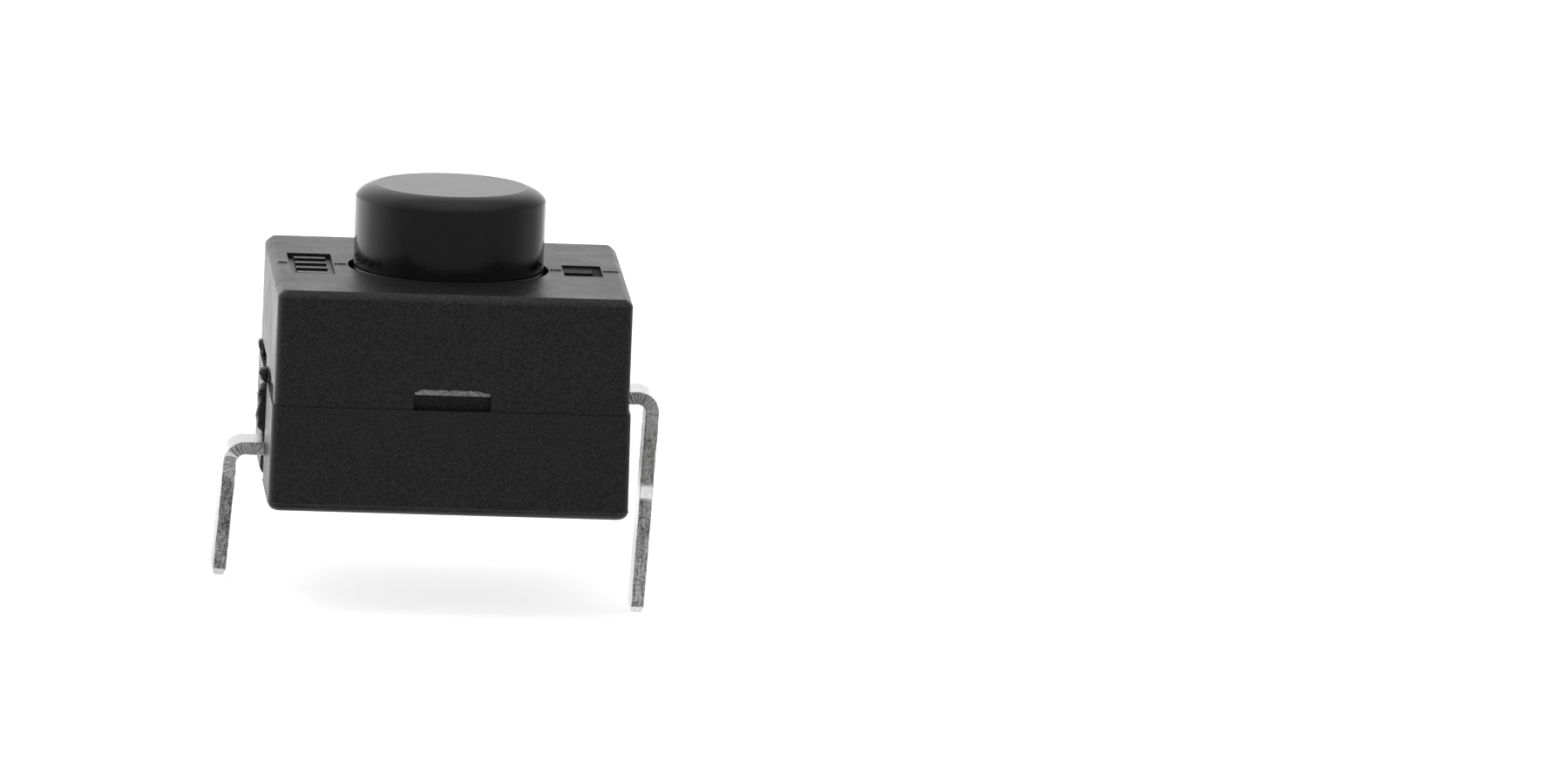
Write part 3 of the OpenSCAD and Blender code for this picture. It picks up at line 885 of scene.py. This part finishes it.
def make_right_lead():
    low = box_mm("right_lead")[0]
    neck = (-3.46, RIGHT_ROOT[1])        # span along Y inside the housing
    shoulder_z, shoulder_h = 0.97, 0.7
    riser_x, step_x = 4.88, 5.32         # where the strip climbs inside, and where it widens
    r = 0.25                             # of the middle line's turns at the riser
    z = FLOOR_Z + STRIP_T / 2
    top = LEAD_EXIT + STRIP_T / 2
    bend = bent_path(RIGHT_REACH, LEAD_EXIT, RIGHT_LEAN, low.z)
    path = run(CONTACT_X - PAD_HALF, riser_x - r - 0.05, z, 8)
    path += turn_path((riser_x - r, z + r), -90, 0, r)
    path += turn_path((riser_x + r, top - r), 180, 90, r)
    path += run(step_x, bend[0][0] - 0.02, top, 8) + bend

    def span(point):
        if point[0] < step_x:
            return neck
        return between(RIGHT_ROOT, RIGHT_LEG, (shoulder_z - point[1]) / shoulder_h)

    lead = strip("right_lead", path, span, 1)
    add(lead, block((CONTACT_X - PAD_HALF, RIGHT_ROOT[1] - 0.2, FLOOR_Z),
                    (CONTACT_X + PAD_HALF, PAD_HALF, FLOOR_Z + STRIP_T)))
    finish_lead(lead, "right_lead_strip", 1, right_tin, "right_lead")


# ---------- spring ----------

def make_spring():
    """A smooth coil with closed ends."""
    turns, closed, around = 6, 0.9, 12
    steps = turns * 28
    height = SPRING_TOP - FLOOR_Z
    end_pitch = 2.1 * WIRE_R
    mid_pitch = (height - 2 * WIRE_R - 2 * closed * end_pitch) / (turns - 2 * closed)
    rings = []
    z = FLOOR_Z + WIRE_R
    for i in range(steps + 1):
        turn = turns * i / steps
        if i:
            z += (mid_pitch if closed < turn < turns - closed else end_pitch) * turns / steps
        a = 2 * math.pi * turn
        ring = []
        for k in range(around):
            b = 2 * math.pi * k / around
            r = COIL_R + WIRE_R * math.cos(b)
            ring.append((r * math.cos(a), r * math.sin(a), z + WIRE_R * math.sin(b)))
        rings.append(ring)
    spring = loft("spring", rings)
    for polygon in spring.data.polygons:
        polygon.use_smooth = True
    finish_piece(spring, "return_spring_coil", "housing", spring_steel, "return_spring")
    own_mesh(spring)


make_cover()
make_base()
make_gate()
make_mould_line()
make_window_lip()
make_stake_heads()
make_button()
make_left_lead()
make_right_lead()
make_spring()
for node, material in [("rotor", rotor_white), ("contact_ring", brass), ("contact_rivets", silver)]:
    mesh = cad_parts[node].data
    mesh.materials.clear()
    mesh.materials.append(material)


# ---------- floor, light and camera ----------

def surround(wires, direction):
    """How bright the studio is in a direction: dark in front and to the right, bright behind and left."""
    dark_side = math.radians(30)
    away = wires.vector("DOT_PRODUCT", direction, (-math.sin(dark_side), math.cos(dark_side), 0))
    return wires.ramp(away, [(0.0, 0.34), (0.34, 0.52), (0.66, 0.85), (1.0, 1.0)])


def make_floor():
    """A pale floor, clear from below; gloss sees it pale near the part and like the studio beyond."""
    half, drop = 3000, 0.01
    square = [(-half, -half), (half, -half), (half, half), (-half, half)]
    floor = new_object("floor", [(x, y, GROUND_Z - drop) for x, y in square], [(0, 1, 2, 3)])
    floor.data.transform(Matrix.Scale(MM, 4))
    material = bpy.data.materials.new("pale_floor")
    material.use_nodes = True
    w = Wires(material.node_tree)
    w.nodes.clear()
    place = w.node("TexCoord").outputs["Object"]
    ray = w.node("LightPath").outputs
    behind = w.vector("DOT_PRODUCT", place, (0.23, 1, 0))
    near_part = w.math("MULTIPLY", w.remap(w.vector("LENGTH", place), 0.010, 0.015, 1, 0),
                       w.remap(behind, -0.009, -0.006))
    far = w.math("MULTIPLY", surround(w, w.vector("NORMALIZE", place)),
                 w.remap(behind, 0.010, 0.030, 1, 1.35))
    gloss = w.node("Emission")
    w.put(gloss.inputs["Strength"], w.mix_levels(near_part, far, 0.9))
    glow = w.node("Emission")
    w.put(glow.inputs["Strength"], w.math("MULTIPLY", ray["Is Camera Ray"], 0.75))
    diffuse = w.node("BsdfDiffuse", (0.8, 0.8, 0.8, 1))
    lit = w.node("AddShader", diffuse.outputs[0], glow.outputs[0])
    top = w.node("MixShader", ray["Is Glossy Ray"], lit.outputs[0], gloss.outputs[0])
    clear = w.node("BsdfTransparent")
    below = w.node("NewGeometry").outputs["Backfacing"]
    both = w.node("MixShader", below, top.outputs[0], clear.outputs[0])
    w.node("OutputMaterial", both.outputs[0])
    floor.data.materials.append(material)


def make_world():
    """White all round for what the camera sees; for light and gloss it is dim in front of the part."""
    world = bpy.data.worlds.new("studio")
    bpy.context.scene.world = world
    world.use_nodes = True
    w = Wires(world.node_tree)
    direction = w.node("TexCoord").outputs["Generated"]
    overhead = w.remap(w.split(direction)["Z"], 0.45, 1, 0, 0.8)
    light = w.math("MAXIMUM", surround(w, direction), overhead)
    seen = w.node("LightPath").outputs["Is Camera Ray"]
    background = w.nodes["Background"]
    background.inputs["Color"].default_value = (1, 1, 1, 1)
    w.put(background.inputs["Strength"], w.mix_levels(seen, light, 1))


def make_camera():
    """The viewing angle: in front, a little to the left and above, from 0.8 m with a long lens."""
    image_width = 1799                   # in pixels
    focal = 27300                        # in pixels too
    distance = 800
    yaw, pitch, roll, aside = (math.radians(a) for a in (2.95, 9.5, 2.15, 0.8047))
    turned = Matrix.Rotation(-yaw, 3, "Z") @ Matrix.Rotation(-pitch, 3, "X")
    turned = turned @ Matrix.Rotation(-roll, 3, "Y")
    target = Vector((0, 0, 3.7))
    place = target - turned @ Vector((-0.19, distance, 0.125))
    data = bpy.data.cameras.new("camera")
    data.sensor_width = 36
    data.lens = focal * data.sensor_width / image_width
    data.clip_start, data.clip_end = 0.05, 20
    camera = bpy.data.objects.new("camera", data)
    bpy.context.scene.collection.objects.link(camera)
    aimed = turned @ Matrix.Rotation(-aside, 3, "Z") @ Matrix.Rotation(math.pi / 2, 3, "X")
    camera.matrix_world = Matrix.Translation(place * MM) @ aimed.to_4x4()
    bpy.context.scene.camera = camera


def make_lamp(name, place, size, watts):
    """A square lamp aimed at the part, unseen in gloss; its place and size are in metres."""
    data = bpy.data.lights.new(name, "AREA")
    data.shape = "SQUARE"
    data.size = size
    data.energy = watts
    lamp = bpy.data.objects.new(name, data)
    bpy.context.scene.collection.objects.link(lamp)
    lamp.location = place
    lamp.visible_glossy = False
    lamp.rotation_mode = "QUATERNION"
    lamp.rotation_quaternion = (-Vector(place)).to_track_quat("-Z", "Y")


make_floor()
make_world()
make_camera()
make_lamp("top_light", (-0.15, -0.05, 0.5), 0.4, 0.6)
bpy.context.scene.view_settings.view_transform = "Standard"
